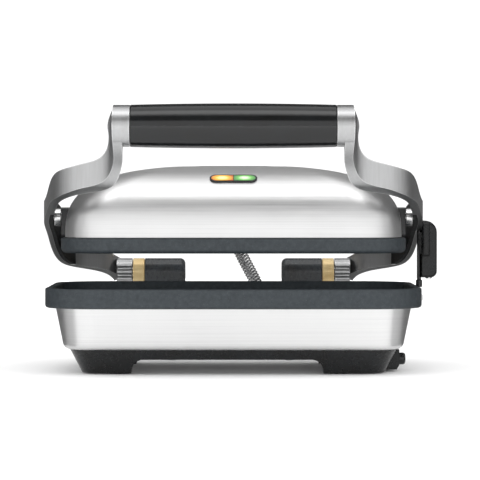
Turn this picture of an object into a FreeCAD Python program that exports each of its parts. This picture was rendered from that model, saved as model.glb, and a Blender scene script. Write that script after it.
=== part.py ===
"""Panini press: a heated base, a floating upper plate on two swooping arms, and a height setter.

Frame: millimetres, +X to the user's right, +Y to the back, +Z up. The origin is on the table,
under the middle of the base. The press stands open at its tallest melting height.
"""
import FreeCAD, Part
import math
import os

import Sketcher
from FreeCAD import Placement, Rotation, Vector

os.makedirs("parts", exist_ok=True)
doc = FreeCAD.newDocument("panini_press")
sheet = doc.addObject("Spreadsheet::Sheet", "sizes")

SIZES = {
    # lower plate: a cast tray with an upright rim
    "rim_wide": 340,
    "rim_deep": 240,
    "rim_corner": 47,
    "rim_top": 77.5,
    "rim_high": 17.7,
    "rim_wall": 7,
    "tray_sink": 10,
    "channel_wide": 9,
    "channel_sink": 2.5,
    "edge_round": 1.2,
    # base shell: pressed steel, narrower than the rim and tapering down
    "rim_overhang": 9.6,
    "shell_bottom": 22.4,
    "shell_taper": 11.5,
    "shell_wall": 2,
    "shell_round": 7,
    "shell_lip": 17,
    # bottom cover with its four legs
    "cover_wide": 296.4,
    "cover_deep": 196,
    "cover_corner": 34,
    "leg_taper": 27.5,
    "leg_bottom": 1,
    "arch_top": 13.5,
    "arch_left": 81,
    "arch_right": 70,
    "arch_side": 48,
    "arch_round": 11,
    "cover_floor": 3,
    "pad_radius": 10,
    "pad_high": 2.4,
    "pad_left": 102.7,
    "pad_right": 95,
    "pad_back": 70,
    # hinge
    "axis_back": 142,
    "axis_high": 86,
    "barrel_radius": 13,
    "tower_in": 47,
    "tower_out": 86.1,
    "bush_out": 98.4,
    "barrel_out": 113.6,
    "hinge_pin": 5,
    "side_gap": 0.35,
    "bore_gap": 0.05,
    # arms
    "arm_thick": 8,
    "liner_thick": 3.5,
    "liner_front": -48,
    "liner_back": 104,
    "pivot_back": 10.2,
    "pivot_high": 140.5,
    "pivot_pin": 6,
    "pivot_shoulder": 8.4,
    "pivot_out": 159.7,
    "grip_back": -145,
    "grip_high": 222,
    "grip_long": 181,
    "grip_end_radius": 18.6,
    "grip_mid_radius": 19.8,
    "grip_rod": 6,
    "collar_long": 7,
    "arm_end_radius": 18.5,
    # upper plate and cover
    "upper_wide": 313.3,
    "upper_deep": 216,
    "upper_corner": 44,
    "upper_bottom": 108.8,
    "upper_high": 13.6,
    "upper_wall": 7,
    "upper_floor": 9,
    "upper_round": 4.5,
    "rib_pitch": 11,
    "rib_high": 3,
    "hood_wide": 306,
    "hood_deep": 208,
    "hood_corner": 42,
    "hood_high": 65.8,
    "hood_wall": 1.6,
    # heaters
    "heater_radius": 3.4,
    "shield_sheet": 0.8,
    # indicator lights
    "lens_wide": 40,
    "lens_high": 8.6,
    "lens_deep": 3,
    "lamp_radius": 2.2,
    "light_high": 175.5,
    # height setter on the right arm
    "setter_back": 30,
    "stem_radius": 2,
    "stem_foot": 3,
    "stem_out": 174.2,
    "stem_bottom": 74.6,
    "paddle_in": 176.2,
    "paddle_out": 190.2,
    "paddle_bottom": 84,
    "paddle_top": 137,
    "paddle_deep": 26,
    # power conduit between base and hood
    "conduit_radius": 6,
    "conduit_bend": 28,
    # storage latch
    "latch_back": -30,
    "latch_out": 151.4,
    "latch_knob": 5.5,
    # what passes through the rear walls, and the feet of the hinge brackets
    "bracket_low": 43,
    "bracket_high": 57,
    "tower_round": 5,
    "conduit_side": 33,
    "conduit_low": 46,
    "cord_side": -20,
    "cord_low": 42,
    "hood_conduit_side": -6,
    "hood_conduit_high": 136,
}

for row, (alias, size) in enumerate(SIZES.items(), start=1):
    sheet.set(f"A{row}", alias)
    sheet.set(f"B{row}", str(size))
    sheet.setAlias(f"B{row}", alias)
doc.recompute()

pieces = []


def bound(text):
    """Spell an expression of sheet aliases the way the document wants it."""
    words = text.split()
    return " ".join("sizes." + word if word in SIZES else word for word in words)


def size(text):
    """The number that an expression of sheet aliases comes to."""
    return float(sheet.evalExpression(bound(text)))


def keep(piece, label):
    """Label a finished sub-part and list it for export."""
    piece.Label = label
    pieces.append(piece)
    return piece


# ---------------------------------------------------------------- primitives and booleans


def place(piece, x="0", y="0", z="0", turn=None):
    if turn:
        piece.Placement = Placement(Vector(), turn)
    for axis, text in zip("xyz", (x, y, z)):
        piece.setExpression(f"Placement.Base.{axis}", bound(text))
    return piece


def box(name, x, y, z, wide, deep, high):
    piece = doc.addObject("Part::Box", name)
    piece.setExpression("Length", bound(wide))
    piece.setExpression("Width", bound(deep))
    piece.setExpression("Height", bound(high))
    return place(piece, x, y, z)


def cylinder(name, radius, long, x="0", y="0", z="0", turn=None):
    piece = doc.addObject("Part::Cylinder", name)
    piece.setExpression("Radius", bound(radius))
    piece.setExpression("Height", bound(long))
    return place(piece, x, y, z, turn)


ALONG_X = Rotation(Vector(0, 1, 0), 90)
ALONG_Y = Rotation(Vector(1, 0, 0), -90)


def cut(name, base, tool):
    piece = doc.addObject("Part::Cut", name)
    piece.Base = base
    piece.Tool = tool
    return piece


def common(name, base, tool):
    piece = doc.addObject("Part::Common", name)
    piece.Base = base
    piece.Tool = tool
    return piece


def fuse(name, shapes):
    piece = doc.addObject("Part::MultiFuse", name)
    piece.Shapes = shapes
    return piece


def group(name, shapes):
    """Separate solids that share one sub-part."""
    piece = doc.addObject("Part::Compound", name)
    piece.Links = shapes
    return piece


def rounded(name, base, radius, picks):
    """Round the edges of a shape that a test picks out."""
    doc.recompute()
    piece = doc.addObject("Part::Fillet", name)
    piece.Base = base
    chosen = [i for i, edge in enumerate(base.Shape.Edges, start=1) if picks(edge)]
    piece.Edges = [(i, size(radius), size(radius)) for i in chosen]
    return piece


def extrusion(name, sketch, direction, long):
    piece = doc.addObject("Part::Extrusion", name)
    piece.Base = sketch
    piece.DirMode = "Custom"
    piece.Dir = direction
    piece.setExpression("LengthFwd", bound(long))
    piece.Solid = True
    return piece


# ---------------------------------------------------------------- sketches and bodies


def new_body(name):
    return doc.addObject("PartDesign::Body", name)


def new_sketch(body, name, role="XY_Plane", offset="0"):
    """A sketch on one of the body's origin planes, moved along that plane's normal."""
    sketch = body.newObject("Sketcher::SketchObject", name)
    plane = next(item for item in body.Origin.OriginFeatures if item.Role == role)
    sketch.AttachmentSupport = [(plane, "")]
    sketch.MapMode = "FlatFace"
    sketch.setExpression("AttachmentOffset.Base.z", bound(offset))
    return sketch


def add_rectangle(sketch, wide, deep, corner, middle="0"):
    """Add a rounded rectangle, centred on X = 0, with its sizes bound to the sheet."""
    a, b, r, m = size(wide) / 2, size(deep) / 2, size(corner), size(middle)
    first = sketch.GeometryCount
    front, right, back, left = first, first + 1, first + 2, first + 3
    arcs = [first + 4, first + 5, first + 6, first + 7]
    corners = [(a, -b + m), (a, b + m), (-a, b + m), (-a, -b + m)]
    starts = [
        (Vector(-a + r, -b + m), Vector(a - r, -b + m)),
        (Vector(a, -b + r + m), Vector(a, b - r + m)),
        (Vector(a - r, b + m), Vector(-a + r, b + m)),
        (Vector(-a, b - r + m), Vector(-a, -b + r + m)),
    ]
    for start, end in starts:
        sketch.addGeometry(Part.LineSegment(start, end))
    for turn, (x, y) in enumerate(corners):
        inward = Vector(x - math.copysign(r, x), y - math.copysign(r, y - m))
        circle = Part.Circle(inward, Vector(0, 0, 1), r)
        from_angle = math.radians(90 * turn - 90)
        sketch.addGeometry(Part.ArcOfCircle(circle, from_angle, from_angle + math.pi / 2))
    lines = [front, right, back, left]
    for turn, arc in enumerate(arcs):
        sketch.addConstraint(Sketcher.Constraint("Tangent", lines[turn], 2, arc, 1))
        sketch.addConstraint(Sketcher.Constraint("Tangent", arc, 2, lines[(turn + 1) % 4], 1))
    sketch.addConstraint(Sketcher.Constraint("Horizontal", front))
    sketch.addConstraint(Sketcher.Constraint("Vertical", right))
    for arc in arcs[1:]:
        sketch.addConstraint(Sketcher.Constraint("Equal", arcs[0], arc))
    measures = [
        ("radius", Sketcher.Constraint("Radius", arcs[0], r), corner),
        ("wide", Sketcher.Constraint("DistanceX", left, 1, right, 1, 2 * a), wide),
        ("half", Sketcher.Constraint("DistanceX", -1, 1, right, 1, a), f"( {wide} ) / 2"),
        ("deep", Sketcher.Constraint("DistanceY", front, 1, back, 1, 2 * b), deep),
        (
            "front",
            Sketcher.Constraint("DistanceY", front, 1, -1, 1, b - m),
            f"( {deep} ) / 2 - ( {middle} )",
        ),
    ]
    for name, constraint, text in measures:
        index = sketch.addConstraint(constraint)
        sketch.renameConstraint(index, f"{name}_{first}")
        sketch.setExpression(f"Constraints.{name}_{first}", bound(text))


def add_circle(sketch, x, y, radius):
    """Add a circle whose radius is bound to the sheet."""
    spot = Vector(size(x), size(y))
    index = sketch.addGeometry(Part.Circle(spot, Vector(0, 0, 1), size(radius)))
    datum = sketch.addConstraint(Sketcher.Constraint("Radius", index, size(radius)))
    sketch.renameConstraint(datum, f"radius_{index}")
    sketch.setExpression(f"Constraints.radius_{index}", bound(radius))


def add_outline(sketch, points):
    """Add a closed outline of straight lines."""
    spots = [Vector(x, y) for x, y in points]
    first = sketch.GeometryCount
    for i, spot in enumerate(spots):
        sketch.addGeometry(Part.LineSegment(spot, spots[(i + 1) % len(spots)]))
    for i in range(len(spots)):
        after = first + (i + 1) % len(spots)
        sketch.addConstraint(Sketcher.Constraint("Coincident", first + i, 2, after, 1))


def add_spline(sketch, points, start=None, end=None):
    """Add a smooth curve through points; start and end give its direction there."""
    curve = Part.BSplineCurve()
    spots = [Vector(x, y) for x, y in points]
    if start:
        ends = {"InitialTangent": Vector(*start), "FinalTangent": Vector(*end)}
        curve.interpolate(Points=spots, **ends)
    else:
        curve.interpolate(Points=spots)
    sketch.addGeometry(curve)


def pad(body, sketch, long, taper="0", both=False):
    feature = body.newObject("PartDesign::Pad", "Pad")
    feature.Profile = sketch
    feature.setExpression("Length", bound(long))
    feature.setExpression("TaperAngle", bound(taper))
    feature.Midplane = both
    sketch.Visibility = False
    doc.recompute()
    return feature


def pocket(body, sketch, long=None, taper="0", both=False):
    """Cut a sketch out of the body, against its normal, and check that material went."""
    before = body.Shape.Volume
    feature = body.newObject("PartDesign::Pocket", "Pocket")
    feature.Profile = sketch
    if long:
        feature.setExpression("Length", bound(long))
        feature.setExpression("TaperAngle", bound(taper))
    else:
        feature.Type = "ThroughAll"
    feature.Midplane = both
    sketch.Visibility = False
    doc.recompute()
    if body.Shape.Volume > before - 1:
        raise RuntimeError(f"{body.Name}: {feature.Name} cuts nothing")
    return feature


def fillet(body, radius, picks):
    """Round the edges of the body that a test picks out."""
    tip = body.Tip
    names = [f"Edge{i}" for i, edge in enumerate(tip.Shape.Edges, start=1) if picks(edge)]
    feature = body.newObject("PartDesign::Fillet", "Fillet")
    feature.Base = (tip, names)
    feature.setExpression("Radius", bound(radius))
    doc.recompute()
    return feature


def level_at(height, least=0.0):
    """A test for edges that lie level at a height and reach out past a half width."""

    def picks(edge):
        span = edge.BoundBox
        level = abs(span.ZMin - height) < 0.01 and abs(span.ZMax - height) < 0.01
        reach = max(abs(span.XMin), abs(span.XMax), abs(span.YMin), abs(span.YMax))
        return level and reach > least

    return picks


# ---------------------------------------------------------------- base


def lower_plate():
    """Cast tray: upright rim, flat cooking face, and a channel that collects the fat."""
    body = new_body("LowerPlate")
    outline = new_sketch(body, "PlateOutline", offset="rim_top - rim_high")
    add_rectangle(outline, "rim_wide", "rim_deep", "rim_corner")
    pad(body, outline, "rim_high")
    tray = new_sketch(body, "TrayOutline", offset="rim_top")
    inner = ["rim_wide - 2 * rim_wall", "rim_deep - 2 * rim_wall", "rim_corner - rim_wall"]
    add_rectangle(tray, *inner)
    pocket(body, tray, "tray_sink")
    channel = new_sketch(body, "ChannelOutline", offset="rim_top - tray_sink")
    for step in ("2", "2 + channel_wide"):
        add_rectangle(channel, *(f"{text} - 2 * ( {step} )" for text in inner[:2]),
                      f"{inner[2]} - ( {step} )")
    pocket(body, channel, "channel_sink")
    fillet(body, "edge_round", level_at(size("rim_top")))
    fillet(body, "3", level_at(size("rim_top - rim_high")))
    keep(body, "lower_plate")


def base_shell():
    """Pressed steel skirt with an inward lip, open above, slotted behind for the hinge."""
    body = new_body("BaseShell")
    top = "rim_top - rim_high"
    wide, deep = "rim_wide - 2 * rim_overhang", "rim_deep - 2 * rim_overhang"
    corner = "rim_corner - rim_overhang"
    outline = new_sketch(body, "ShellOutline", offset=top)
    add_rectangle(outline, wide, deep, corner)
    skirt = pad(body, outline, f"{top} - shell_bottom", "-1 * shell_taper")
    skirt.Reversed = True
    doc.recompute()
    fillet(body, "shell_round", level_at(size("shell_bottom"), 50))
    hollow = new_sketch(body, "ShellHollow", offset=top)
    inner = [f"{text} - 2 * shell_wall" for text in (wide, deep)]
    add_rectangle(hollow, *inner, f"{corner} - shell_wall")
    pocket(body, hollow, f"{top} - shell_bottom - shell_wall", "-1 * shell_taper")
    fillet(body, "shell_round - shell_wall", level_at(size("shell_bottom + shell_wall"), 50))
    well = new_sketch(body, "ShellWell", offset="shell_bottom + shell_wall")
    add_rectangle(well, "cover_wide - 2 * shell_lip", "cover_deep - 2 * shell_lip", "20")
    pocket(body, well)
    slots = new_sketch(body, "RearSlots", "XZ_Plane", "-60")
    for side in (-1, 1):
        near, far = size("tower_in - 0.2"), size("tower_out + 0.2")
        low, high = size("bracket_low - 0.2"), size("bracket_high + 0.2")
        spots = [(side * near, low), (side * far, low), (side * far, high), (side * near, high)]
        add_outline(slots, spots)
    add_circle(slots, "conduit_side", "conduit_low", "conduit_radius + 3.2")
    add_circle(slots, "cord_side", "cord_low", "7.2")
    pocket(body, slots)
    return keep(body, "base_shell")


def bottom_cover():
    """Moulded tray that closes the base, on four legs with arches between them."""
    body = new_body("BottomCover")
    outline = new_sketch(body, "CoverOutline", offset="shell_bottom")
    add_rectangle(outline, "cover_wide", "cover_deep", "cover_corner")
    block = pad(body, outline, "shell_bottom - leg_bottom", "-1 * leg_taper")
    block.Reversed = True
    doc.recompute()
    tall = size("arch_top")
    for role, near, far in (
        ("XZ_Plane", size("-1 * arch_left"), size("arch_right")),
        ("YZ_Plane", size("-1 * arch_side"), size("arch_side")),
    ):
        arch = new_sketch(body, "Arch", role)
        add_arch(arch, near, far, tall)
        pocket(body, arch, "600", both=True)
    tray = new_sketch(body, "CoverTray", offset="shell_bottom")
    add_rectangle(tray, "cover_wide - 16", "cover_deep - 16", "cover_corner - 8")
    pocket(body, tray, "shell_bottom - arch_top - cover_floor")
    seats = new_sketch(body, "PadSeats")
    for x, y in pad_spots():
        add_circle(seats, x, y, "pad_radius")
    seat = pocket(body, seats, "pad_high", both=True)
    seat.Midplane = False
    seat.Reversed = True
    doc.recompute()
    holes = new_sketch(body, "ScrewHoles", offset="30")
    for x, y in screw_spots():
        add_circle(holes, str(x), str(y), "1.75")
    pocket(body, holes)
    return keep(body, "bottom_cover")


def add_arch(sketch, near, far, tall):
    """Outline of the open space between two legs: a flat top with a round at each end."""
    flare = size("arch_round")
    spring, under = tall - flare, -5
    runs = [
        ((near - flare, spring), (near - flare, under)),
        ((near - flare, under), (far + flare, under)),
        ((far + flare, under), (far + flare, spring)),
        ((far, tall), (near, tall)),
    ]
    for one, two in runs:
        sketch.addGeometry(Part.LineSegment(Vector(*one), Vector(*two)))
    for middle, start in ((near, math.pi / 2), (far, 0)):
        circle = Part.Circle(Vector(middle, spring), Vector(0, 0, 1), flare)
        sketch.addGeometry(Part.ArcOfCircle(circle, start, start + math.pi / 2))


def pad_spots():
    """Middles of the four rubber feet: the right pair sits a little further in."""
    return [(x, y) for x in ("-1 * pad_left", "pad_right") for y in ("-1 * pad_back", "pad_back")]


def screw_spots():
    return [(x, y) for x in (-55, 50) for y in (-72, 72)]


def rubber_feet():
    pads = [
        rounded("FootPad", cylinder("PadDisc", "pad_radius", "pad_high", x, y), "0.4",
                level_at(0))
        for x, y in pad_spots()
    ]
    keep(group("RubberFeet", pads), "rubber_feet")


def bottom_cover_screws():
    """Four screws up through the cover's floor."""
    low = size("arch_top")
    screws = []
    for x, y in screw_spots():
        head = cylinder("ScrewHead", "3.4", "1.6", str(x), str(y), str(low - 1.6))
        shank = cylinder("ScrewShank", "1.75", "8", str(x), str(y), str(low))
        screws.append(fuse("CoverScrew", [head, shank]))
    keep(group("BottomScrews", screws), "bottom_cover_screws")


def route(points, bend):
    """Straight runs through points, joined by tangent arcs of one radius."""
    spots = [Vector(*point) for point in points]
    edges = []
    last = spots[0]
    for before, corner, after in zip(spots, spots[1:], spots[2:]):
        back = (before - corner).normalize()
        ahead = (after - corner).normalize()
        half = back.getAngle(ahead) / 2
        reach = bend / math.tan(half)
        start, end = corner + back * reach, corner + ahead * reach
        middle = corner + (back + ahead).normalize() * (bend / math.sin(half) - bend)
        edges.append(Part.LineSegment(last, start).toShape())
        edges.append(Part.Arc(start, middle, end).toShape())
        last = end
    edges.append(Part.LineSegment(last, spots[-1]).toShape())
    return Part.Wire(edges)


def tube(name, points, radius, bend):
    """A round tube swept along a route, checked against its section times its length."""
    path = doc.addObject("Part::Feature", f"{name}Route")
    path.Shape = route(points, bend)
    ring = doc.addObject("Part::Circle", f"{name}Section")
    ring.setExpression("Radius", bound(radius))
    start = Vector(*points[0])
    ring.Placement = Placement(start, Rotation(Vector(0, 0, 1), Vector(*points[1]) - start))
    piece = doc.addObject("Part::Sweep", name)
    piece.Sections = [ring]
    piece.Spine = (path, [f"Edge{i}" for i in range(1, len(path.Shape.Edges) + 1)])
    piece.Solid = True
    doc.recompute()
    wanted = math.pi * size(radius) ** 2 * path.Shape.Length
    if abs(piece.Shape.Volume / wanted - 1) > 0.01:
        raise RuntimeError(f"{name}: the sweep's volume is wrong")
    return piece


def heater(label, half_wide, half_deep, high, middle=0.0):
    """Sheathed element bent to an M, with both ends at the back."""
    near, far = middle - half_deep, middle + half_deep
    inner = half_wide * 0.34
    points = [
        (-inner * 0.45, far + 6, high),
        (-inner * 0.45, far - 26, high),
        (-half_wide, far - 26, high),
        (-half_wide, near, high),
        (-inner, near, high),
        (-inner, near + 62, high),
        (inner, near + 62, high),
        (inner, near, high),
        (half_wide, near, high),
        (half_wide, far - 26, high),
        (inner * 0.45, far - 26, high),
        (inner * 0.45, far + 6, high),
    ]
    keep(tube(label.title().replace("_", ""), points, "heater_radius", 12), label)


def shield(label, wide, deep, floor, high, open_up):
    """Shallow pan of bright sheet that turns the heat back to its plate."""
    body = new_body(label.title().replace("_", ""))
    outline = new_sketch(body, "PanOutline", offset=str(floor))
    add_rectangle(outline, str(wide), str(deep), "24")
    pad(body, outline, str(high))
    lift = floor + high if open_up else floor
    hollow = new_sketch(body, "PanHollow", offset=str(lift))
    sheet_2 = "2 * shield_sheet"
    add_rectangle(hollow, f"{wide} - {sheet_2}", f"{deep} - {sheet_2}", "24 - shield_sheet")
    cutter = body.newObject("PartDesign::Pocket", "PanPocket")
    cutter.Profile = hollow
    cutter.setExpression("Length", bound(f"{high} - shield_sheet"))
    cutter.Reversed = not open_up
    doc.recompute()
    keep(body, label)


def thermostat(label, x, y, low):
    """Snap-disc thermostat: flange, can and two blades."""
    flange = box("Flange", str(x - 13), str(y - 4), str(low), "26", "8", "1")
    can = cylinder("Can", "8", "7", str(x), str(y), str(low))
    blades = [
        box("Blade", str(x + side * 5 - 3), str(y - 0.5), str(low + 6), "6", "1", "8")
        for side in (-1, 1)
    ]
    keep(fuse(label.title().replace("_", ""), [flange, can, *blades]), label)


def thermal_fuse():
    """Fuse cartridge with a lead at each end."""
    can = cylinder("FuseCan", "2.2", "14", "60", "40", "50", ALONG_X)
    leads = [
        cylinder("FuseLead", "0.8", "12", text, "40", "50", ALONG_X) for text in ("48", "74")
    ]
    keep(fuse("ThermalFuse", [can, *leads]), "thermal_fuse")


def terminal_block():
    """Mains terminals: a moulded bar with three wire bores."""
    bar = box("TerminalBar", "-45", "55", "cover_floor + arch_top", "42", "18", "14")
    bores = fuse("TerminalBores", [
        cylinder("WireBore", "2.5", "24", str(x), "52", "27", ALONG_Y) for x in (-37, -24, -11)
    ])
    keep(cut("TerminalBlock", bar, bores), "terminal_block")


def gland(label, x, wall, z, bore, collar, skin):
    """Moulded strain relief through a rear wall, seated on that wall's outer skin."""
    barrel = cylinder("GlandBarrel", f"{bore} + 3", "14", x, str(wall - 8), z, ALONG_Y)
    flange = cylinder("GlandCollar", collar, "4", x, str(wall + 0.2), z, ALONG_Y)
    hole = cylinder("GlandBore", bore, "20", x, str(wall - 11), z, ALONG_Y)
    drilled = cut("GlandDrilled", fuse("GlandBody", [barrel, flange]), hole)
    keep(cut(label.title().replace("_", ""), drilled, skin), label)


def hinge_brackets():
    """Two cast brackets: a foot inside the base and a tower that holds the hinge pin."""
    for side, label in ((-1, "hinge_bracket_left"), (1, "hinge_bracket_right")):
        body = new_body(label.title().replace("_", ""))
        start = "tower_in" if side > 0 else "-1 * tower_out"
        profile = new_sketch(body, "TowerProfile", "YZ_Plane", start)
        back, high = size("axis_back"), size("axis_high")
        round_top = size("barrel_radius")
        front, rear = back - round_top, back + round_top
        low, ledge, toe = size("bracket_low"), size("bracket_high"), 96
        spots = [
            (rear, high), (rear, low + 10), (rear - 10, low), (toe, low), (toe, ledge),
            (front, ledge), (front, high),
        ]
        for one, two in zip(spots, spots[1:]):
            profile.addGeometry(Part.LineSegment(Vector(*one), Vector(*two)))
        dome = Part.Circle(Vector(back, high), Vector(0, 0, 1), round_top)
        profile.addGeometry(Part.ArcOfCircle(dome, 0, math.pi))
        pad(body, profile, "tower_out - tower_in")
        fillet(body, "tower_round", on_inner_face(side * size("tower_in"), ledge))
        bore = new_sketch(body, "PinBore", "YZ_Plane", start)
        add_circle(bore, "axis_back", "axis_high", "hinge_pin + bore_gap")
        drill = body.newObject("PartDesign::Pocket", "PinPocket")
        drill.Profile = bore
        drill.Reversed = True
        drill.Type = "ThroughAll"
        doc.recompute()
        keep(body, label)


def on_inner_face(x, ledge):
    """A test for a tower's edges on its inner face, above the bracket's foot."""

    def picks(edge):
        span = edge.BoundBox
        flat = abs(span.XMin - x) < 0.01 and abs(span.XMax - x) < 0.01
        return flat and span.ZMax > ledge + 1 and span.ZLength > 10

    return picks


def height_rest_tab():
    """Step on the right of the lower rim, under the height setter's stem."""
    x = "rim_wide / 2"
    block = box("TabBlock", x, "setter_back - 4", "62", "7.5", "8", "6")
    keep(rounded("RestTab", block, "1", lambda edge: edge.BoundBox.XMin > size(x) + 1),
         "height_rest_tab")


def storage_latch(cover):
    """Housing on the right side of the bottom cover, with a button that slides along it."""
    out, back = size("latch_out"), size("latch_back")
    body = new_body("LatchHousing")
    profile = new_sketch(body, "HousingProfile", "XZ_Plane", str(-back - 18))
    add_outline(profile, [
        (out - 15, 2), (out - 2.5, 2), (out, 6), (out, 20), (out - 8, 20), (out - 15, 12),
    ])
    pad(body, profile, "36")
    slot = new_sketch(body, "ButtonSlot", "YZ_Plane", str(out + 1))
    middle = size("latch_back")
    slot_half = 9
    add_outline(slot, [
        (middle - slot_half, 9), (middle + slot_half, 9),
        (middle + slot_half, 13), (middle - slot_half, 13),
    ])
    pocket(body, slot, "8")
    keep(cut("LatchHousingSeated", body, cover), "latch_housing")
    knob = cylinder("LatchKnob", "latch_knob", "6", str(out + 0.4), "latch_back", "11", ALONG_X)
    domed = rounded("LatchDome", knob, "2.5",
                    lambda edge: edge.BoundBox.XMin > out + 6 and edge.Closed)
    stem = box("LatchStem", str(out - 5), "latch_back - 2.5", "9.4", "6", "5", "3.2")
    keep(fuse("LatchButton", [domed, stem]), "storage_latch_button")


# ---------------------------------------------------------------- hinge


def hinge_pins():
    """On each side a pin through tower and arm, with a bronze bush between them."""
    for side, word in ((-1, "left"), (1, "right")):
        inner, outer = "tower_in + 4", "barrel_out - 1.5"
        start = inner if side > 0 else f"-1 * ( {outer} )"
        pin = cylinder("HingePin", "hinge_pin", f"{outer} - ( {inner} )",
                       start, "axis_back", "axis_high", ALONG_X)
        keep(rounded("HingePinSoft", pin, "0.6", is_ring_over(4)), f"hinge_pin_{word}")
        inner, outer = "tower_out + side_gap", "bush_out - side_gap"
        start = inner if side > 0 else f"-1 * ( {outer} )"
        ring = cylinder("BushRing", "barrel_radius", f"{outer} - ( {inner} )",
                        start, "axis_back", "axis_high", ALONG_X)
        bore = cylinder("BushBore", "hinge_pin", f"{outer} - ( {inner} )",
                        start, "axis_back", "axis_high", ALONG_X)
        keep(rounded("HingeBush", cut("BushCut", ring, bore), "1.2", is_ring_over(9)),
             f"hinge_bush_{word}")


def is_ring_over(radius):
    """A test for round edges larger than a radius."""

    def picks(edge):
        return isinstance(edge.Curve, Part.Circle) and edge.Curve.Radius > radius

    return picks


# ---------------------------------------------------------------- arms

# Outer face of an arm seen from above, as distance from the middle and distance back.
ARM_PLAN = [
    (105.5, -170), (105.5, -152), (105.8, -138), (110, -128), (120, -121.5), (137, -116.5),
    (152, -107.5), (162, -93), (168, -70), (173.5, -32), (175.6, 10), (175, 48),
    (171.5, 80), (161.5, 105), (145, 120), (132, 128.5), (123.5, 138), (117, 151),
]
# Upper and lower edges of an arm seen from the side, from the grip back to the hinge.
ARM_UPPER = [
    (-127, 218), (-125, 200), (-116.5, 188.6), (-101, 182), (-80, 169.5), (-45, 157.5),
    (10, 156), (48, 154.5), (75, 149.5), (98, 135), (115, 118), (128, 106), (142, 100), (152, 97),
]
ARM_LOWER = [
    (-160, 212), (-146, 197), (-131, 183), (-121, 170.5), (-106, 161), (-85, 154.5),
    (-40, 141), (10, 131.5), (50, 120.5), (80, 104.5), (105, 93.5), (120, 89.5), (131, 86),
    (142, 82), (152, 76),
]


def offset_points(points, inward):
    """Points moved square to the curve through them, to its left."""
    curve = Part.BSplineCurve()
    curve.interpolate(Points=[Vector(x, y) for x, y in points])
    moved = []
    for x, y in points:
        along = curve.tangent(curve.parameter(Vector(x, y)))[0]
        moved.append((x - along.y * inward, y + along.x * inward))
    return moved


def arm_ribbon(name, side, depth_from, depth_to):
    """Upright band between two depths under the arm's outer face."""
    sketch = doc.addObject("Sketcher::SketchObject", f"{name}Plan")
    faces = [offset_points(ARM_PLAN, depth) for depth in (depth_from, depth_to)]
    outer, inner = [[(side * x, y) for x, y in face] for face in faces]
    add_spline(sketch, outer)
    add_spline(sketch, inner)
    for one, two in ((outer[0], inner[0]), (outer[-1], inner[-1])):
        sketch.addGeometry(Part.LineSegment(Vector(*one), Vector(*two)))
    place(sketch, z="40")
    return extrusion(name, sketch, Vector(0, 0, 1), "230")


def arm_side(name, side, grow=0.0):
    """Slab of the arm's side outline, with round ends at grip and hinge."""
    sketch = doc.addObject("Sketcher::SketchObject", f"{name}Outline")
    upper = [(y, z + grow) for y, z in ARM_UPPER]
    lower = [(y, z - grow) for y, z in ARM_LOWER]
    add_spline(sketch, upper)
    add_spline(sketch, lower)
    for one, two in ((upper[0], lower[0]), (upper[-1], lower[-1])):
        sketch.addGeometry(Part.LineSegment(Vector(*one), Vector(*two)))
    sketch.Placement = Placement(Vector(), Rotation(Vector(1, 1, 1), 120))
    start = "80" if side > 0 else "-190"
    sketch.setExpression("Placement.Base.x", bound(start))
    slab = extrusion(name, sketch, Vector(1, 0, 0), "110")
    disc = cylinder(f"{name}Disc", "arm_end_radius", "110", start, "grip_back", "grip_high",
                    ALONG_X)
    return fuse(f"{name}Whole", [slab, disc])


def arms():
    """Two cast arms, each with its inner liner."""
    for side, word in ((-1, "left"), (1, "right")):
        title = word.title()
        band = arm_ribbon(f"{title}Band", side, 0, size("arm_thick"))
        profile = arm_side(f"{title}Side", side)
        raw = common(f"{title}Raw", band, profile)
        inner = arm_ribbon(f"{title}Inner", side, size("arm_thick - liner_thick"),
                           size("arm_thick + 2"))
        start = "142" if side > 0 else "-182"
        span = box(f"{title}Span", start, "liner_front", "60", "40",
                   "liner_back - liner_front", "130")
        seat = common(f"{title}Seat", inner, span)
        metal = cut(f"{title}Metal", raw, seat)
        start = "bush_out + side_gap" if side > 0 else "-1 * barrel_out"
        barrel = cylinder(f"{title}Barrel", "barrel_radius", "barrel_out - bush_out - side_gap",
                          start, "axis_back", "axis_high", ALONG_X)
        start = "grip_long / 2" if side > 0 else "-1 * ( grip_long / 2 + collar_long + 1 )"
        collar = cylinder(f"{title}Collar", "arm_end_radius", "collar_long + 1", start,
                          "grip_back", "grip_high", ALONG_X)
        soft = rounded(f"{title}CollarSoft", collar, "0.8", stands_at(side * size("grip_long / 2")))
        whole = fuse(f"{title}Whole", [metal, barrel, soft])
        keep(cut(f"{title}Arm", whole, arm_bores(title, side)), f"{word}_arm")
        full = arm_ribbon(f"{title}Full", side, size("arm_thick - liner_thick"),
                          size("arm_thick"))
        strip = common(f"{title}Strip", full, span)
        lining = common(f"{title}Lining", strip, arm_side(f"{title}LinerSide", side, -0.4))
        hole = cylinder(f"{title}LinerHole", "pivot_pin", "30",
                        "150" if side > 0 else "-180", "pivot_back", "pivot_high", ALONG_X)
        keep(cut(f"{title}Liner", lining, hole), f"{word}_arm_liner")


def stands_at(x):
    """A test for edges that lie in the upright plane at X = x."""

    def picks(edge):
        return abs(edge.BoundBox.XMin - x) < 0.01 and abs(edge.BoundBox.XMax - x) < 0.01

    return picks


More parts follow.
